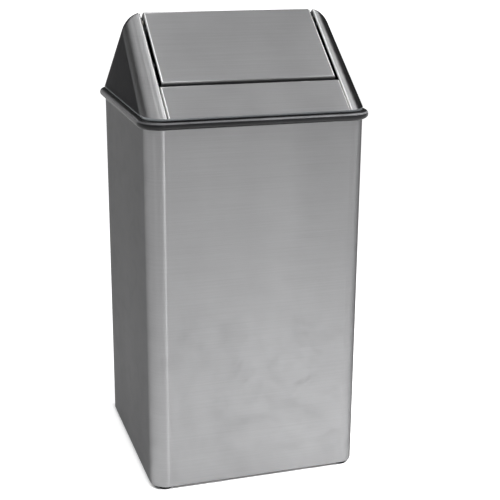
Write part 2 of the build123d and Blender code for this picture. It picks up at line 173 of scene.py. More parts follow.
def mix_colours(
    tree: bpy.types.NodeTree, dark: str, light: str, amount: bpy.types.NodeSocket
) -> bpy.types.NodeSocket:
    """Mix two hex colours: dark at 0 and light at 1."""
    colours = {"data_type": "RGBA", 6: linear(dark), 7: linear(light)}
    return add_node(tree, "ShaderNodeMix", colours, {0: amount}).outputs[2]


def relief(
    tree: bpy.types.NodeTree, height: bpy.types.NodeSocket, strength: float, depth: float,
    under: bpy.types.NodeSocket | None = None,
) -> bpy.types.NodeSocket:
    """Raise a surface by a pattern, by a depth in millimetres, over another relief if there is one."""
    links = {"Height": height} if under is None else {"Height": height, "Normal": under}
    return add_node(
        tree, "ShaderNodeBump", {"Strength": strength, "Distance": depth * MM}, links
    ).outputs["Normal"]


# Finishes


@dataclass(frozen=True)
class BrushedStainless:
    """Stainless sheet with a number 4 finish, brushed along the sheet's width by an abrasive belt.

    The level scratches stretch reflections upright, so a face shades softly from its foot to its
    head, and a bend keeps one narrow bright line. At a grazing look the scratches shadow each other
    and the sheet turns dark.
    """

    name: str = "stainless_steel_brushed_number_4"
    dark: str = "#8E8E8F"
    light: str = "#969697"
    roughness: float = 0.33
    roughness_spread: float = 0.025
    anisotropy: float = 1.0
    edge_tint: float = 0.3
    # Real belt grit leaves lines about 0.1 mm apart. They are drawn coarser so that a picture shows them.
    line_spacing: float = 1.3
    line_length: float = 150.0
    fine_spacing: float = 0.35
    fine_length: float = 40.0
    # Thin bent sheet is never quite flat: upright hollows a few fingers wide, and faint upright bands.
    wave_width: float = 70.0
    wave_height: float = 520.0
    wave_depth: float = 0.12
    # Faint hand marks, a few centimetres across, that only change the gloss
    mark_width: float = 42.0
    mark_height: float = 30.0
    mark_dulling: float = 0.05
    scratch_depth: float = 0.02
    fine_depth: float = 0.008
    scratch_strength: float = 0.25

    def material(self) -> bpy.types.Material:
        """Build the material."""
        material, tree = new_material(self.name)
        place = add_node(tree, "ShaderNodeTexCoord").outputs["Object"]
        lines = pattern(
            tree, place, (self.line_length, self.line_length, self.line_spacing),
            {"Detail": 5.0, "Roughness": 0.62},
        )
        fine = pattern(
            tree, place, (self.fine_length, self.fine_length, self.fine_spacing),
            {"Detail": 3.0, "Roughness": 0.55},
        )
        waves = pattern(
            tree, place, (self.wave_width, self.wave_width, self.wave_height),
            {"Detail": 1.0, "Roughness": 0.4},
        )
        marks = pattern(
            tree, place, (self.mark_width, self.mark_width, self.mark_height),
            {"Detail": 4.0, "Roughness": 0.6, "Distortion": 0.6},
        )
        streaks = add_node(
            tree, "ShaderNodeMix", {"data_type": "FLOAT", 0: 0.4}, {2: lines, 3: waves}
        ).outputs[0]
        tone = remap(tree, streaks, (0.35, 0.65))
        colour = mix_colours(tree, self.dark, self.light, tone)
        line_gloss = remap(tree, lines, (0.3, 0.7), about(self.roughness, self.roughness_spread))
        mark_gloss = remap(tree, marks, (0.45, 0.75), (0.0, self.mark_dulling))
        gloss = maths(tree, "ADD", line_gloss, mark_gloss)
        hollow = relief(tree, waves, 1.0, self.wave_depth)
        scratch = relief(tree, lines, self.scratch_strength, self.scratch_depth, hollow)
        surface = relief(tree, fine, self.scratch_strength, self.fine_depth, scratch)
        # The grain lies level on every face. A slightly tilted upright keeps it defined on level faces too.
        facing = add_node(tree, "ShaderNodeNewGeometry").outputs["Normal"]
        grain = add_node(
            tree, "ShaderNodeVectorMath", {"operation": "CROSS_PRODUCT", 1: (0.02, 0.03, 1.0)}, {0: facing}
        ).outputs["Vector"]
        shader = add_node(
            tree, "ShaderNodeBsdfPrincipled",
            {"Metallic": 1.0, "Anisotropic": self.anisotropy, "Anisotropic Rotation": 0.25,
             "Specular Tint": (self.edge_tint, self.edge_tint, self.edge_tint, 1.0)},
            {"Base Color": colour, "Roughness": gloss, "Normal": surface, "Tangent": grain},
        )
        add_node(tree, "ShaderNodeOutputMaterial", links={"Surface": shader.outputs["BSDF"]})
        return material


@dataclass(frozen=True)
class GalvanisedSheet:
    """Hot dip galvanised steel: a dull zinc skin with faint crystals and a soft, patchy shine."""

    name: str = "galvanised_steel_sheet"
    dark: str = "#7E8285"
    light: str = "#9A9DA0"
    roughness: float = 0.46
    roughness_spread: float = 0.08
    crystal: float = 9.0
    crystal_height: float = 0.03
    cloud: float = 60.0

    def material(self) -> bpy.types.Material:
        """Build the material."""
        material, tree = new_material(self.name)
        place = add_node(tree, "ShaderNodeTexCoord").outputs["Object"]
        crystals_at = add_node(
            tree, "ShaderNodeMapping", {"Scale": per_mm(self.crystal, self.crystal, self.crystal)},
            {"Vector": place},
        )
        crystals = add_node(
            tree, "ShaderNodeTexVoronoi", {"Scale": 1.0, "Randomness": 1.0},
            {"Vector": crystals_at.outputs["Vector"]},
        )
        shade = add_node(
            tree, "ShaderNodeSeparateColor", links={"Color": crystals.outputs["Color"]}
        ).outputs["Red"]
        cloud = pattern(tree, place, (self.cloud, self.cloud, self.cloud), {"Detail": 5.0})
        tone = add_node(
            tree, "ShaderNodeMix", {"data_type": "FLOAT", 0: 0.45}, {2: cloud, 3: shade}
        ).outputs[0]
        colour = mix_colours(tree, self.dark, self.light, tone)
        gloss = remap(tree, shade, (0.0, 1.0), about(self.roughness, self.roughness_spread))
        surface = relief(tree, tone, 0.4, self.crystal_height)
        shader = add_node(
            tree, "ShaderNodeBsdfPrincipled", {"Metallic": 1.0},
            {"Base Color": colour, "Roughness": gloss, "Normal": surface},
        )
        add_node(tree, "ShaderNodeOutputMaterial", links={"Surface": shader.outputs["BSDF"]})
        return material


@dataclass(frozen=True)
class PolymerSkin:
    """A moulded or extruded polymer: its fine skin texture, slight mottling and rubbed patches, and where set,
    a painted highlight band.
    """

    name: str
    colour: str
    rubbed: str
    roughness: float
    ior: float
    texture: float
    texture_depth: float
    mottle: float
    roughness_spread: float = 0.06
    # How much longer the texture is along an extrusion than across it
    stretch: float = 1.0
    shine: float = 0.5
    film: float = 0.0
    film_roughness: float = 0.15
    # A highlight painted as a band of lighter base colour: its colour, and the heights in millimetres that the
    # band lies between
    shoulder_highlight: str = ""
    highlight_low: float = 0.0
    highlight_high: float = 0.0
    # Share of the painted highlight band that is at full strength
    highlight_core: float = 0.4

    def material(self) -> bpy.types.Material:
        """Build the material."""
        material, tree = new_material(self.name)
        place = add_node(tree, "ShaderNodeTexCoord").outputs["Object"]
        along = self.texture * self.stretch
        skin = pattern(tree, place, (along, along, self.texture), {"Detail": 3.0})
        mottle = pattern(
            tree, place, (self.mottle, self.mottle, self.mottle), {"Detail": 5.0, "Roughness": 0.6}
        )
        worn = remap(tree, mottle, (0.45, 0.75))
        colour = mix_colours(tree, self.colour, self.rubbed, worn)
        # Paint a highlight band of lighter base colour along the bumper's top
        if self.shoulder_highlight:
            colour = self.painted_shoulder_highlight(tree, place, mottle, colour)
        gloss = remap(tree, mottle, (0.0, 1.0), about(self.roughness, self.roughness_spread))
        surface = relief(tree, skin, 0.5, self.texture_depth)
        shader = add_node(
            tree, "ShaderNodeBsdfPrincipled",
            {"IOR": self.ior, "Specular IOR Level": self.shine, "Coat Weight": self.film,
             "Coat Roughness": self.film_roughness},
            {"Base Color": colour, "Roughness": gloss, "Normal": surface, "Coat Normal": surface},
        )
        add_node(tree, "ShaderNodeOutputMaterial", links={"Surface": shader.outputs["BSDF"]})
        return material

    def painted_shoulder_highlight(
        self, tree: bpy.types.NodeTree, place: bpy.types.NodeSocket, mottle: bpy.types.NodeSocket,
        colour: bpy.types.NodeSocket,
    ) -> bpy.types.NodeSocket:
        """Paint a highlight along the bumper's upper edge: a band of lighter base colour, made patchy by the
        mottling.

        Args:
            tree: The material's node tree.
            place: Object coordinates.
            mottle: The skin's mottling.
            colour: The colour away from the painted highlight.

        Returns:
            The colour with the painted highlight.
        """
        height = add_node(tree, "ShaderNodeSeparateXYZ", links={"Vector": place}).outputs["Z"]
        middle = (self.highlight_low + self.highlight_high) / 2
        half = (self.highlight_high - self.highlight_low) / 2
        off = add_node(
            tree, "ShaderNodeMath", {"operation": "SUBTRACT", 1: middle * MM}, {0: height}
        ).outputs["Value"]
        away = maths(tree, "ABSOLUTE", off)
        # The band of the painted highlight, at full strength in its middle
        line = remap(tree, away, (half * MM, half * self.highlight_core * MM))
        patchy_highlight = remap(tree, mottle, (0.3, 0.6), (0.6, 1.0))
        amount = maths(tree, "MULTIPLY", line, patchy_highlight)
        return add_node(
            tree, "ShaderNodeMix", {"data_type": "RGBA", 7: linear(self.shoulder_highlight)}, {0: amount, 6: colour}
        ).outputs[2]


@dataclass(frozen=True)
class TurnedSteel:
    """Zinc plated or stainless small steel parts: even grey, satin, with fine turning and tumbling marks."""

    name: str
    dark: str
    light: str
    roughness: float
    mark: float = 0.6
    mark_stretch: float = 6.0
    mark_depth: float = 0.01
    roughness_spread: float = 0.07

    def material(self) -> bpy.types.Material:
        """Build the material."""
        material, tree = new_material(self.name)
        place = add_node(tree, "ShaderNodeTexCoord").outputs["Object"]
        around = self.mark * self.mark_stretch
        marks = pattern(tree, place, (self.mark, around, around), {"Detail": 3.0})
        colour = mix_colours(tree, self.dark, self.light, marks)
        gloss = remap(tree, marks, (0.0, 1.0), about(self.roughness, self.roughness_spread))
        surface = relief(tree, marks, 0.3, self.mark_depth)
        shader = add_node(
            tree, "ShaderNodeBsdfPrincipled", {"Metallic": 1.0},
            {"Base Color": colour, "Roughness": gloss, "Normal": surface},
        )
        add_node(tree, "ShaderNodeOutputMaterial", links={"Surface": shader.outputs["BSDF"]})
        return material


@dataclass
class Finishes:
    """One material of each finish on the can."""

    stainless: bpy.types.Material = field(default_factory=BrushedStainless().material)
    # A copy of the stainless whose reflection is darker at a grazing look: painted shade that darkens the
    # pressed ends' gables
    shaded_end_stainless: bpy.types.Material = field(
        default_factory=BrushedStainless(
            name="stainless_steel_brushed_pressed", edge_tint=0.12
        ).material
    )
    # Each bend gets a much lighter copy of the stainless: a painted highlight that draws a bright line along
    # it
    bend_highlight_stainless: bpy.types.Material = field(
        default_factory=BrushedStainless(
            name="stainless_steel_painted_bend_highlight", dark="#C4C4C4", light="#D4D4D3", roughness=0.36
        ).material
    )
    galvanised: bpy.types.Material = field(default_factory=GalvanisedSheet().material)
    # Plasticised PVC, extruded: soft black under a thin glossy skin, with faint lines along its run, and a
    # painted highlight band near its top
    vinyl: bpy.types.Material = field(
        default_factory=PolymerSkin(
            "pvc_extruded_black", colour="#161617", rubbed="#1E1E20", roughness=0.5, ior=1.5, texture=0.9,
            texture_depth=0.006, mottle=60.0, stretch=14.0, shine=0.05, film=0.3, film_roughness=0.2,
            # A highlight painted as a grey band of base colour between these heights
            shoulder_highlight="#6C6C6E", highlight_low=620.0, highlight_high=623.6,
        ).material
    )
    # Moulded rubber: dull, slightly grey where it has rubbed
    rubber: bpy.types.Material = field(
        default_factory=PolymerSkin(
            "rubber_moulded_black", colour="#101010", rubbed="#1C1C1C", roughness=0.7, ior=1.52, texture=0.5,
            texture_depth=0.03, mottle=12.0, shine=0.15,
        ).material
    )
    # Nylon 6, moulded: off white, waxy
    nylon: bpy.types.Material = field(
        default_factory=PolymerSkin(
            "nylon_moulded_natural", colour="#D6D2C6", rubbed="#C9C4B6", roughness=0.38, ior=1.53,
            texture=0.4, texture_depth=0.01, mottle=8.0,
        ).material
    )
    # High density polyethylene, moulded in a grained tool: charcoal, low sheen
    polyethylene: bpy.types.Material = field(
        default_factory=PolymerSkin(
            "hdpe_moulded_charcoal", colour="#202123", rubbed="#2A2B2E", roughness=0.48, ior=1.54,
            texture=1.1, texture_depth=0.06, mottle=90.0,
        ).material
    )
    # Turned bar with a thin bright zinc plate: even, with marks round its axis
    rod_steel: bpy.types.Material = field(
        default_factory=TurnedSteel(
            "steel_turned_zinc_plated", dark="#9A9CA0", light="#B2B4B8", roughness=0.3
        ).material
    )
    # Headed and tumbled rivets: duller, with coarser marks
    rivet_steel: bpy.types.Material = field(
        default_factory=TurnedSteel(
            "steel_rivet_tumbled", dark="#8F9194", light="#A8AAAC", roughness=0.36, mark=1.2
        ).material
    )


# Mesh helpers


def finish_mesh(bm: bmesh.types.BMesh, name: str, sharp: float = 35.0) -> bpy.types.Object:
    """Turn a closed bmesh into a smooth shaded object at the origin.

    Args:
        bm: The shape, in metres in the row frame. It is freed.
        name: Name of the piece.
        sharp: Angle in degrees above which an edge stays sharp.

    Returns:
        The linked object.
    """
    bmesh.ops.remove_doubles(bm, verts=bm.verts, dist=TOUCH * MM)
    bmesh.ops.recalc_face_normals(bm, faces=bm.faces)
    mesh = bpy.data.meshes.new(name)
    bm.to_mesh(mesh)
    bm.free()
    mesh.polygons.foreach_set("use_smooth", [True] * len(mesh.polygons))
    mesh.set_sharp_from_angle(angle=math.radians(sharp))
    piece = bpy.data.objects.new(name, mesh)
    bpy.context.scene.collection.objects.link(piece)
    return piece


def stand_for(node: str, name: str, bm: bmesh.types.BMesh) -> bpy.types.Object:
    """Let a sheet stand for the CAD node of the same place.

    Args:
        node: Name of the CAD node.
        name: Name of the piece.
        bm: The sheet.

    Returns:
        The piece.
    """
    piece = finish_mesh(bm, name)
    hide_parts(node)
    return piece


def dress(material: bpy.types.Material, *nodes: str) -> None:
    """Give CAD nodes a material.

    Args:
        material: The finish.
        nodes: Names of the nodes.
    """
    for name in nodes:
        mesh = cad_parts[name].data
        mesh.materials.clear()
        mesh.materials.append(material)
        log.info("dressed %s in %s", name, material.name)


def mark_flats(bm: bmesh.types.BMesh, least: float = 600.0, border: float = 0.3) -> None:
    """Ring every large flat face with a narrow border, so that smooth shading keeps it flat.

    Args:
        bm: The mesh.
        least: Least area in square millimetres.
        border: Width of the border in millimetres.
    """
    flats = [face for face in bm.faces if face.calc_area() > least * MM * MM]
    bmesh.ops.inset_individual(bm, faces=flats, thickness=border * MM)


def thicken(bm: bmesh.types.BMesh, floor_level: float, thickness: float) -> None:
    """Give an open surface a sheet's thickness inwards, and keep it above a level.

    Args:
        bm: The surface, with its faces outward.
        floor_level: Lowest height in millimetres.
        thickness: The sheet in millimetres.
    """
    bmesh.ops.solidify(bm, geom=list(bm.faces), thickness=thickness * MM)
    for vert in bm.verts:
        vert.co.z = max(vert.co.z, floor_level * MM)


# Sub-assemblies


@dataclass(frozen=True)
class HoodForm:
    """Sizes that the hood's folded and pressed sheets share, in millimetres.

    The sheets keep the CAD solids' outlines. Their bends are as wide as a press brake makes them, and
    the hips curve right up to the bend beside the door.
    """

    base: float = 629.4
    rise: float = 142.2
    eave: float = 189.4
    gable: float = 183.0
    lean: float = 2.1
    ridge_radius: float = 6.5
    apex_radius: float = 13.0
    bend: float = 2.8
    sheet: float = 1.0
    turned_in: float = 8.0
    bend_steps: int = 6
    ridge_steps: int = 11
    hip_radius: float = 27.5
    hip_end: float = 80.0
    hip_steps: int = 14
    cap_edge: float = 148.6
    hem_to: float = 171.0
    door_half: float = 144.0
    door_slope: float = 162.0
    panel_half: float = 148.3
    panel_start: float = 168.5
    # The lower panel's hem stays this far from the slope and from the panel's sides
    hem_inset: float = 1.5
    hem_side_gap: float = 1.0
    least_radius: float = 0.2

    @property
    def pitch(self) -> float:
        """Slope of the roof in radians."""
        return math.atan2(self.rise, self.eave)

    def slope_point(self, along: float, depth: float, side: int) -> tuple[float, float]:
        """Find a point of a slope.

        Args:
            along: Way down the slope from the sharp ridge.
            depth: Depth under the slope's outer face.
            side: -1 for the front slope, 1 for the rear one.

        Returns:
            (y, z) of the point.
        """
        across = along * math.cos(self.pitch) - depth * math.sin(self.pitch)
        down = along * math.sin(self.pitch) + depth * math.cos(self.pitch)
        return side * across, self.base + self.rise - down

    def base_point(self, depth: float, side: int) -> tuple[float, float]:
        """(y, z) where a slope meets the hood's base, at a depth under its outer face."""
        return side * (self.eave - depth / math.sin(self.pitch)), self.base

    def outline(
        self, depth: float, radius: float, ends: list[tuple[float, float]]
    ) -> list[tuple[float, float]]:
        """Points of the gabled outline from front to rear, with a round ridge.

        Args:
            depth: How far the outline lies under the roof's faces.
            radius: Of the ridge.
            ends: (y, z) of its front and rear ends.

        Returns:
            (y, z) of each point.
        """
        radius = max(radius, self.least_radius)
        centre = self.base + self.rise - (depth + radius) / math.cos(self.pitch)
        turns = [self.pitch * (2 * i / self.ridge_steps - 1) for i in range(self.ridge_steps + 1)]
        ridge = [(radius * math.sin(t), centre + radius * math.cos(t)) for t in turns]
        return [ends[0], *ridge, ends[1]]

    def folded(
        self, top: list[tuple[float, float]], under: list[tuple[float, float]], half: float,
        ends: tuple[int, ...],
    ) -> bmesh.types.BMesh:
        """Fold a sheet down along its sides and its ends.

        Args:
            top: (y, z) of its face, from end to end.
            under: (y, z) of the edges of its returns, point by point.
            half: Half of its width.
            ends: Which ends of the face have a return: 0, -1 or both.

        Returns:
            The folded sheet.
        """
        bm = bmesh.new()
        face = [[bm.verts.new((x * MM, y * MM, z * MM)) for y, z in top] for x in (-half, half)]
        edge = [[bm.verts.new((x * MM, y * MM, z * MM)) for y, z in under] for x in (-half, half)]
        for i in range(len(top) - 1):
            bm.faces.new((face[0][i], face[0][i + 1], face[1][i + 1], face[1][i]))
            for upper, lower in zip(face, edge):
                bm.faces.new((upper[i], upper[i + 1], lower[i + 1], lower[i]))
        for i in ends:
            bm.faces.new((face[0][i], face[1][i], edge[1][i], edge[0][i]))
        bmesh.ops.recalc_face_normals(bm, faces=bm.faces)
        # The bends run down both sides, and across each end that has a return
        corners = {row[i] for row in face for i in (0, -1)}
        runs = (set(face[0]), set(face[1]), corners)
        bends = [e for e in bm.edges if not e.is_boundary and any(set(e.verts) <= run for run in runs)]
        bent = bmesh.ops.bevel(
            bm, geom=bends, offset=self.bend * MM, segments=self.bend_steps, profile=0.5,
            affect="EDGES", clamp_overlap=False, material=-1,
        )
        # The side bends take the lighter copy, a painted highlight
        for bend in bent["faces"]:
            if abs(bend.calc_center_median().x) > (half - self.bend) * MM:
                bend.material_index = BEND_HIGHLIGHT
        mark_flats(bm)
        thicken(bm, self.base, self.sheet)
        return bm

    def door(self) -> bmesh.types.BMesh:
        """Bend the door's sheet over the ridge, with returns all round.

        Returns:
            The sheet.
        """
        face_ends = [self.slope_point(self.door_slope, 0, side) for side in (-1, 1)]
        edge_ends = [self.slope_point(self.door_slope, self.turned_in, side) for side in (-1, 1)]
        return self.folded(
            self.outline(0, self.ridge_radius, face_ends), self.outline(self.turned_in, 0, edge_ends),
            self.door_half, (0, -1),
        )

    def lower_panel(self, side: int) -> bmesh.types.BMesh:
        """Fold the fixed panel below the door, with returns at its sides and top, and a hem at its foot.

        Args:
            side: -1 for the front panel, 1 for the rear one.

        Returns:
            The sheet.
        """
        top = [self.slope_point(self.panel_start, 0, side), self.base_point(0, side)]
        under = [
            self.slope_point(self.panel_start, self.turned_in, side), self.base_point(self.turned_in, side)
        ]
        bm = self.folded(top, under, self.panel_half, (0,))
        hem = bmesh.ops.create_cube(bm, size=MM)["verts"]
        outer, inner = self.eave - self.hem_inset, self.hem_to
        across = 2 * (self.panel_half - self.hem_side_gap)
        bmesh.ops.scale(bm, vec=(across, outer - inner, self.sheet), verts=hem)
        middle = (0, side * (outer + inner) / 2, self.base + self.sheet / 2)
        bmesh.ops.translate(bm, vec=Vector(middle) * MM, verts=hem)
        return bm

    def cap_sections(self) -> list[tuple[float, float, float, float]]:
        """Cross-section of a pressed end from its return beside the door to its gable.

        Returns:
            For each line: how far out from the bend it lies, its share of the way from there to
            the gable, its depth under the slopes and its ridge's radius.
        """
        end = math.radians(self.hip_end)
        reach = (self.gable - self.cap_edge - self.bend) / (1 - math.cos(end))
        tilt = math.atan2(self.hip_radius * math.cos(end), reach * math.sin(end))
        drop = self.hip_radius * (1 - math.sin(end))
        level = drop + self.bend * math.cos(tilt)
        start = self.bend * (1 + math.sin(tilt))
        lines = [(0.0, 0.0, self.turned_in, 0.0)]
        for i in range(self.bend_steps + 1):
            turn = -math.pi / 2 + (math.pi / 2 + tilt) * i / self.bend_steps
            depth = level - self.bend * math.cos(turn)
            lines.append((self.bend * (1 + math.sin(turn)), 0.0, depth, self.ridge_radius - depth))
        for i in range(1, self.hip_steps + 1):
            turn = end * (1 - i / self.hip_steps)
            share = 1 - (1 - math.cos(turn)) / (1 - math.cos(end))
            radius = self.ridge_radius + (self.apex_radius - self.ridge_radius) * math.cos(turn)
            lines.append((start, share, self.hip_radius * (1 - math.sin(turn)), radius))
        return lines

    def end_cap(self, side: int) -> bmesh.types.BMesh:
        """Press an end with rounded hips, a leaning gable, a return beside the door and a hem at its foot.

        Args:
            side: -1 for the left end, 1 for the right one.

        Returns:
            The sheet.
        """
        bm = bmesh.new()
        rows = []
        for out, share, depth, radius in self.cap_sections():
            ends = [self.base_point(depth, -1), self.base_point(depth, 1)]
            row = []
            for y, z in self.outline(depth, radius, ends):
                near = self.cap_edge + out
                far = self.gable - (z - self.base) * math.tan(math.radians(self.lean))
                x = near + (far - near) * share
                row.append(bm.verts.new((side * x * MM, y * MM, z * MM)))
            rows.append(row)
        for j, (a, b) in enumerate(zip(rows, rows[1:])):
            for i in range(len(a) - 1):
                face = bm.faces.new((a[i], a[i + 1], b[i + 1], b[i]))
                # The bend's faces take the lighter copy, a painted highlight
                face.material_index = BEND_HIGHLIGHT if 1 <= j <= self.bend_steps else 0
        gable = bm.faces.new(rows[-1])
        foot = [
            e for e in bm.edges
            if e.is_boundary and all(abs(v.co.z - self.base * MM) < TOUCH * MM for v in e.verts)
        ]
        hem = bmesh.ops.extrude_edge_only(bm, edges=foot)["geom"]
        for vert in (g for g in hem if isinstance(g, bmesh.types.BMVert)):
            vert.co.x = side * min(abs(vert.co.x), self.hem_to * MM)
            vert.co.y = math.copysign(min(abs(vert.co.y), self.hem_to * MM), vert.co.y)
        bmesh.ops.recalc_face_normals(bm, faces=bm.faces)
        if gable.normal.x * side < 0:
            bmesh.ops.reverse_faces(bm, faces=bm.faces)
        mark_flats(bm)
        thicken(bm, self.base, self.sheet)
        return bm


@dataclass
class CanAssembly:
    """The wrapped body on its pan and feet, with the vinyl bumper on its rim."""

    half: float = 181.0
    corner: float = 28.5
    trim_low: float = 611.2
    trim_top: float = 624.7
    trim_reach: float = 9.5
    trim_rounding: float = 6.5
    trim_wall: float = 2.1
    trim_lip: float = 3.7
    trim_web: float = 622.7
    trim_clearance: float = 0.1
    trim_rounding_steps: int = 12
    lip_rounding: float = 0.7
    lip_rounding_steps: int = 3
    butt_gap: float = 0.4
    corner_steps: int = 24
    foot_x: float = 157.0
    foot_y: float = 166.5
    foot_radius: float = 12.0
    foot_height: float = 5.0
    foot_recess: float = 4.6
    foot_floor: float = 2.0
    foot_steps: int = 40
    # How far the foot's lower edge is drawn in, and at what height
    foot_edge: tuple[tuple[float, float], ...] = ((1.6, 0.0), (0.6, 0.5), (0.2, 1.6))
    feet: tuple[str, ...] = ("foot_front_left", "foot_front_right", "foot_rear_left", "foot_rear_right")

    def build(self) -> list[bpy.types.Object]:
        """Build the finer pieces.

        Returns:
            The bumper and the feet.
        """
        return [self.bumper(), *(self.foot(node) for node in self.feet)]

    def foot(self, node: str) -> bpy.types.Object:
        """Turn a rubber foot with a soft lower edge, as wide as it looks in the photograph.

        Args:
            node: The CAD node that it stands for.

        Returns:
            The foot.
        """
        across = -1 if node.endswith("left") else 1
        along = -1 if "front" in node else 1
        centre = Vector((across * self.foot_x, along * self.foot_y, 0)) * MM
        bm = bmesh.new()
        recess, top, roof = self.foot_recess, self.foot_height, self.foot_height - self.foot_floor
        section = [
            (recess, 0.0), *((self.foot_radius - drawn_in, height) for drawn_in, height in self.foot_edge),
            (self.foot_radius, top), (0.0, top), (0.0, roof), (recess, roof),
        ]
        ring = [bm.verts.new(centre + Vector((r, 0, z)) * MM) for r, z in section]
        # The stretch on the foot's own axis stays open, as it sweeps no surface
        on_axis = (ring[5], ring[6])
        edges = [bm.edges.new(pair) for pair in zip(ring, ring[1:] + ring[:1]) if pair != on_axis]
        bmesh.ops.spin(
            bm, geom=ring + edges, cent=centre, axis=(0, 0, 1), dvec=(0, 0, 0), angle=2 * math.pi,
            steps=self.foot_steps, use_merge=True, use_duplicate=False,
        )
        piece = finish_mesh(bm, f"rubber_{node}")
        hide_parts(node)
        return piece

    def bumper(self) -> bpy.types.Object:
        """Sweep the channel section once round the rim, from one side of the rear butt joint to the other.

        Returns:
            The bumper, which stands for the CAD node of that name.
        """
        bm = bmesh.new()
        start = self.butt_gap / 2
        corners = [
            (self.trim_clearance, self.trim_low), (self.trim_reach, self.trim_low),
            (self.trim_reach, self.trim_top), (-self.trim_lip, self.trim_top),
            (-self.trim_lip, self.trim_low), (-self.trim_wall, self.trim_low),
            (-self.trim_wall, self.trim_web), (self.trim_clearance, self.trim_web),
        ]
        ring = [bm.verts.new((start * MM, (self.half + d) * MM, z * MM)) for d, z in corners]
        bm.faces.new(ring)
        bmesh.ops.bevel(
            bm, geom=[ring[1], ring[2]], offset=self.trim_rounding * MM, segments=self.trim_rounding_steps,
            profile=0.5, affect="VERTICES", material=-1,
        )
        bm.verts.ensure_lookup_table()
        lip = [
            v for v in bm.verts
            if v.co.y < (self.half - self.trim_wall) * MM and v.co.z > (self.trim_top - TOUCH) * MM
        ]
        bmesh.ops.bevel(
            bm, geom=lip, offset=self.lip_rounding * MM, segments=self.lip_rounding_steps, profile=0.5,
            affect="VERTICES", material=-1,
        )
        bmesh.ops.delete(bm, geom=list(bm.faces), context="FACES_ONLY")
        loop = list(bm.edges)
        run = self.half - self.corner
        loop = self.extend(bm, loop, Vector((run - start, 0, 0)))
        # Each corner in turn, and the straight run that follows it
        corner_runs = (
            (1, 1, (0, -2 * run, 0)), (1, -1, (-2 * run, 0, 0)), (-1, -1, (0, 2 * run, 0)),
            (-1, 1, (run - start, 0, 0)),
        )
        for sign_x, sign_y, ahead in corner_runs:
            centre = Vector((sign_x * run, sign_y * run, 0)) * MM
            spun = bmesh.ops.spin(
                bm, geom=loop + list(dict.fromkeys(v for e in loop for v in e.verts)), cent=centre,
                axis=(0, 0, 1), dvec=(0, 0, 0), angle=-math.pi / 2, steps=self.corner_steps,
                use_merge=False, use_duplicate=False,
            )
            loop = [g for g in spun["geom_last"] if isinstance(g, bmesh.types.BMEdge)]
            loop = self.extend(bm, loop, Vector(ahead))
        open_edges = [e for e in bm.edges if e.is_boundary]
        bmesh.ops.holes_fill(bm, edges=open_edges, sides=0)
        piece = finish_mesh(bm, "vinyl_bumper", 50.0)
        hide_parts("bumper_trim")
        return piece

    @staticmethod
    def extend(
        bm: bmesh.types.BMesh, loop: list[bmesh.types.BMEdge], along: Vector
    ) -> list[bmesh.types.BMEdge]:
        """Extrude a loop of edges in a straight line.

        Args:
            bm: The mesh that holds the loop.
            loop: Edges of the section.
            along: How far, in millimetres.

        Returns:
            The edges of the section at its new place.
        """
        grown = bmesh.ops.extrude_edge_only(bm, edges=loop)["geom"]
        bmesh.ops.translate(bm, vec=along * MM, verts=[g for g in grown if isinstance(g, bmesh.types.BMVert)])
        return [g for g in grown if isinstance(g, bmesh.types.BMEdge)]

    def dress(self, pieces: list[bpy.types.Object], finishes: Finishes) -> None:
        """Give the body, pan, feet, rivets and bumper their finishes.

        Args:
            pieces: What build returned.
            finishes: The can's materials.
        """
        dress(finishes.stainless, "body_shell")
        dress(finishes.galvanised, "seam_strip", "bottom_pan")
        dress(finishes.rivet_steel, "foot_rivets")
        for piece in pieces:
            rubber = piece.name.startswith("rubber")
            piece.data.materials.append(finishes.rubber if rubber else finishes.vinyl)
            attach(piece, Body.CAN.value)


@dataclass
class LinerAssembly:
    """The lift-out plastic liner."""

    def build(self) -> list[bpy.types.Object]:
        """The liner needs no finer piece."""
        return []

    def dress(self, pieces: list[bpy.types.Object], finishes: Finishes) -> None:
        """Give the liner its finish."""
        dress(finishes.polyethylene, "liner")


@dataclass
class HoodAssembly:
    """The gabled hood: its frame, end caps, lower panels and the pivot's fixed parts."""

    form: HoodForm = field(default_factory=HoodForm)

    def build(self) -> list[bpy.types.Object]:
        """Form the hood's sheets.

        Returns:
            The pressed ends and the lower panels, which stand for the CAD nodes.
        """
        form = self.form
        sheets = {
            "right_end_cap": ("pressed_end_right", form.end_cap(1)),
            "left_end_cap": ("pressed_end_left", form.end_cap(-1)),
            "front_lower_panel": ("folded_panel_front", form.lower_panel(-1)),
            "rear_lower_panel": ("folded_panel_rear", form.lower_panel(1)),
        }
        return [stand_for(node, name, bm) for node, (name, bm) in sheets.items()]

    def dress(self, pieces: list[bpy.types.Object], finishes: Finishes) -> None:
        """Give the hood's sheets, brackets, rivets and bushings their finishes.

        Args:
            pieces: What build returned.
            finishes: The can's materials.
        """
        for piece in pieces:
            pressed = piece.name.startswith("pressed")
            # The pressed ends take the copy darkened at a grazing look, as painted shade
            piece.data.materials.append(finishes.shaded_end_stainless if pressed else finishes.stainless)
            # The bends take the lighter copy, a painted highlight
            piece.data.materials.append(finishes.bend_highlight_stainless)
            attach(piece, Body.HOOD.value)
        dress(finishes.galvanised, "hood_frame", "left_pivot_bracket", "right_pivot_bracket")
        dress(finishes.rivet_steel, "panel_rivets", "frame_rivets", "bracket_rivets")
        dress(finishes.nylon, "left_bushing", "right_bushing")


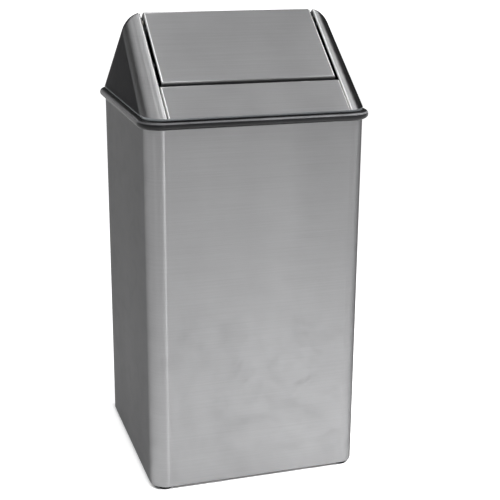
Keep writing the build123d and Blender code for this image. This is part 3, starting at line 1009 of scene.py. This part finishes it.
@dataclass
class DoorAssembly:
    """The swing door with its hangers, rod, spacers and retainers."""

    form: HoodForm = field(default_factory=HoodForm)

    def build(self) -> list[bpy.types.Object]:
        """Form the door's sheet.

        Returns:
            The door, which stands for the CAD node.
        """
        return [stand_for("door_panel", "folded_door", self.form.door())]

    def dress(self, pieces: list[bpy.types.Object], finishes: Finishes) -> None:
        """Give the door, hangers, rod, spacers and retainers their finishes.

        Args:
            pieces: What build returned.
            finishes: The can's materials.
        """
        for piece in pieces:
            piece.data.materials.append(finishes.stainless)
            # The bends take the lighter copy, a painted highlight
            piece.data.materials.append(finishes.bend_highlight_stainless)
            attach(piece, Body.DOOR.value)
        dress(finishes.galvanised, "left_door_hanger", "right_door_hanger")
        dress(finishes.rivet_steel, "hanger_rivets")
        dress(finishes.nylon, "left_spacer", "right_spacer")
        dress(finishes.rod_steel, "pivot_rod", "rod_retainers")


# Studio


@dataclass(frozen=True)
class Softbox:
    """A soft rectangular lamp: place, aim and size in metres, brightness, and spread in degrees."""

    name: str
    at: tuple[float, float, float]
    towards: tuple[float, float, float]
    width: float
    height: float
    brightness: float
    spread: float = 180.0
    # Whether the metal shows the lamp itself
    reflected: bool = True

    def light(self) -> bpy.types.Object:
        """Hang the lamp.

        Returns:
            The lamp's object.
        """
        data = bpy.data.lights.new(self.name, "AREA")
        data.shape = "RECTANGLE"
        data.size, data.size_y = self.width, self.height
        data.energy = self.brightness * math.pi * self.width * self.height
        data.spread = math.radians(self.spread)
        lamp = bpy.data.objects.new(self.name, data)
        aim = Vector(self.towards) - Vector(self.at)
        lamp.rotation_mode = "QUATERNION"
        lamp.rotation_quaternion = aim.to_track_quat("-Z", "Y")
        lamp.location = self.at
        lamp.visible_glossy = self.reflected
        lamp.visible_camera = False
        bpy.context.scene.collection.objects.link(lamp)
        return lamp


def seen_rays(tree: bpy.types.NodeTree) -> bpy.types.NodeSocket:
    """Tell the rays that see a surface from those that it lights.

    Args:
        tree: The node tree to add to.

    Returns:
        A socket that is 1 for camera, glossy and transmission rays.
    """
    rays = add_node(tree, "ShaderNodeLightPath")
    camera_or_gloss = maths(tree, "MAXIMUM", rays.outputs["Is Camera Ray"], rays.outputs["Is Glossy Ray"])
    return maths(tree, "MAXIMUM", camera_or_gloss, rays.outputs["Is Transmission Ray"])


@dataclass
class Studio:
    """Pale floor, soft light and the photograph's camera.

    The camera's angles are in degrees and its distance and target in millimetres. The floor's size is in
    metres.
    """

    azimuth: float = -17.51
    elevation: float = 17.21
    roll: float = 0.42
    distance: float = 1995.4
    target: tuple[float, float, float] = (38.34, -11.4, 354.06)
    focal: float = 81.19
    sensor: float = 36.0
    sight: float = 200.0
    floor_size: float = 60.0
    floor_colour: str = "#EEEEEE"
    paper_fibre: float = 4.0
    paper_relief: float = 0.05
    # How far the near floor is lifted to white, and between which distances from the can's axis the lift
    # begins and the far floor's further lift grows, in millimetres
    floor_glow: float = 0.6
    glow_begins: tuple[float, float] = (172.0, 186.0)
    glow_grows: tuple[float, float] = (2000.0, 7000.0)
    # Brightness of the room, its greys by height from the horizon (0) to straight up (1), and the heights
    # over which the white horizon ends
    room_strength: float = 1.12
    room_greys: tuple[tuple[float, str], ...] = (
        (0.0, "#141414"), (0.5, "#2A2A2A"), (0.77, "#2A2A2A"), (0.84, "#FFFFFF"),
    )
    horizon: tuple[float, float] = (0.05, 0.1)
    lamps: tuple[Softbox, ...] = (
        Softbox("zenith_softbox", (-0.1, -0.15, 2.3), (-0.1, -0.1, 0.7), 0.34, 1.0, 6.5),
        Softbox("right_softbox", (1.35, -0.2, 1.9), (0.1, 0.0, 0.6), 0.45, 1.2, 7.4),
        Softbox("left_softbox", (-1.0, -0.6, 1.9), (0.0, 0.0, 0.6), 0.3, 1.2, 3.0),
        Softbox("left_roof_softbox", (-1.3, 0.2, 1.8), (-0.15, 0.0, 0.7), 0.9, 1.0, 1.3),
        Softbox("back_softbox", (0.0, 1.2, 2.0), (0.0, 0.0, 0.7), 1.4, 0.5, 1.6),
        Softbox("left_back_bar", (-0.75, 2.2, 1.35), (-0.19, 0.0, 0.62), 0.8, 0.25, 3.0),
        Softbox("front_strip", (-0.05, -2.5, 1.0), (0.0, 0.0, 0.5), 0.12, 1.7, 7.0),
        Softbox("bead_bar", (0.55, -0.75, 2.3), (0.05, -0.19, 0.62), 1.3, 0.06, 12.0),
        Softbox("floor_pool", (0.38, -0.75, 1.0), (0.12, -0.38, 0.0), 0.45, 0.45, 10.0, 100.0, False),
    )

    def camera(self) -> bpy.types.Object:
        """Place the camera as the photograph's.

        Returns:
            The camera.
        """
        az, el, roll = (math.radians(a) for a in (self.azimuth, self.elevation, self.roll))
        back = Vector((math.sin(az) * math.cos(el), -math.cos(az) * math.cos(el), math.sin(el)))
        right = (-back).cross(Vector((0, 0, 1))).normalized()
        up = right.cross(-back)
        across = right * math.cos(roll) + up * math.sin(roll)
        upright = up * math.cos(roll) - right * math.sin(roll)
        data = bpy.data.cameras.new("photograph_camera")
        data.sensor_width = self.sensor
        data.lens = self.focal
        data.clip_end = self.sight
        camera = bpy.data.objects.new("photograph_camera", data)
        turn = Matrix((across, upright, back)).transposed().to_4x4()
        turn.translation = (Vector(self.target) + back * self.distance) * MM
        camera.matrix_world = turn
        bpy.context.scene.collection.objects.link(camera)
        bpy.context.scene.camera = camera
        return camera

    def floor(self) -> bpy.types.Object:
        """Lay the floor: pale matt paper that the camera, metal and glass see as white, with the shadow kept.

        Returns:
            The floor.
        """
        bm = bmesh.new()
        bmesh.ops.create_grid(bm, x_segments=1, y_segments=1, size=self.floor_size / 2)
        mesh = bpy.data.meshes.new("studio_floor")
        bm.to_mesh(mesh)
        bm.free()
        floor = bpy.data.objects.new("studio_floor", mesh)
        bpy.context.scene.collection.objects.link(floor)
        material, tree = new_material("paper_sweep_white")
        place = add_node(tree, "ShaderNodeTexCoord").outputs["Object"]
        fibre = pattern(
            tree, place, (self.paper_fibre, self.paper_fibre, self.paper_fibre), {"Detail": 3.0}
        )
        grain = relief(tree, fibre, 0.1, self.paper_relief)
        paper = add_node(
            tree, "ShaderNodeBsdfDiffuse", {"Color": linear(self.floor_colour)}, {"Normal": grain}
        ).outputs["BSDF"]
        # The paper under the can lies in its shadow, so it is not lifted to white
        parts = add_node(tree, "ShaderNodeSeparateXYZ", links={"Vector": place})
        farther = maths(tree, "MAXIMUM", *(maths(tree, "ABSOLUTE", parts.outputs[axis]) for axis in "XY"))
        begin, full = self.glow_begins
        near_floor = remap(tree, farther, (begin * MM, full * MM), (0.0, self.floor_glow))
        # The lamps don't reach the far paper, so it is lifted the rest of the way
        begin, full = self.glow_grows
        far_floor = remap(tree, farther, (begin * MM, full * MM), (0.0, 1.0 - self.floor_glow))
        open_floor = maths(tree, "ADD", near_floor, far_floor)
        strength = maths(tree, "MULTIPLY", seen_rays(tree), open_floor)
        white = add_node(tree, "ShaderNodeEmission", {"Color": linear("#FFFFFF")}, {"Strength": strength})
        both = add_node(tree, "ShaderNodeAddShader", links={0: paper, 1: white.outputs["Emission"]})
        add_node(tree, "ShaderNodeOutputMaterial", links={"Surface": both.outputs["Shader"]})
        mesh.materials.append(material)
        return floor

    def world(self) -> None:
        """Light the room softly: dark walls, a bright ceiling, and a white backdrop round the horizon."""
        world = bpy.data.worlds.new("soft_room")
        bpy.context.scene.world = world
        world.use_nodes = True
        tree = world.node_tree
        tree.nodes.clear()
        way = add_node(tree, "ShaderNodeTexCoord").outputs["Generated"]
        parts = add_node(tree, "ShaderNodeSeparateXYZ", links={"Vector": way})
        ramp = add_node(tree, "ShaderNodeValToRGB", links={"Fac": parts.outputs["Z"]})
        for i, (height, grey) in enumerate(self.room_greys):
            stop = ramp.color_ramp.elements[i] if i < 2 else ramp.color_ramp.elements.new(height)
            stop.position = height
            stop.color = linear(grey)
        sky = add_node(
            tree, "ShaderNodeBackground", {"Strength": self.room_strength}, {"Color": ramp.outputs["Color"]}
        )
        # The camera sees a white room, and metal and glass see white round the horizon. It lights nothing.
        low = remap(tree, parts.outputs["Z"], self.horizon, (1.0, 0.0))
        reflected = maths(tree, "MULTIPLY", seen_rays(tree), low)
        camera_ray = add_node(tree, "ShaderNodeLightPath").outputs["Is Camera Ray"]
        backdrop = maths(tree, "MAXIMUM", reflected, camera_ray)
        white = add_node(tree, "ShaderNodeBackground", {"Color": linear("#FFFFFF"), "Strength": 1.0})
        room = add_node(
            tree, "ShaderNodeMixShader",
            links={0: backdrop, 1: sky.outputs["Background"], 2: white.outputs["Background"]},
        )
        add_node(tree, "ShaderNodeOutputWorld", links={"Surface": room.outputs["Shader"]})

    def build(self) -> None:
        """Set up the camera, floor, room and lamps."""
        bpy.context.scene.view_settings.view_transform = "Standard"
        self.camera()
        self.floor()
        self.world()
        for lamp in self.lamps:
            lamp.light()
            log.info("hung %s", lamp.name)


def main() -> None:
    """Build the studio and every sub-assembly, and log each piece's face count."""
    logging.basicConfig(level=logging.INFO, format="%(name)s %(message)s")
    Studio().build()
    finishes = Finishes()
    for assembly in (CanAssembly(), LinerAssembly(), HoodAssembly(), DoorAssembly()):
        pieces = assembly.build()
        assembly.dress(pieces, finishes)
        for piece in pieces:
            log.info("made %s with %d faces", piece.name, len(piece.data.polygons))


if __name__ == "__main__":
    main()
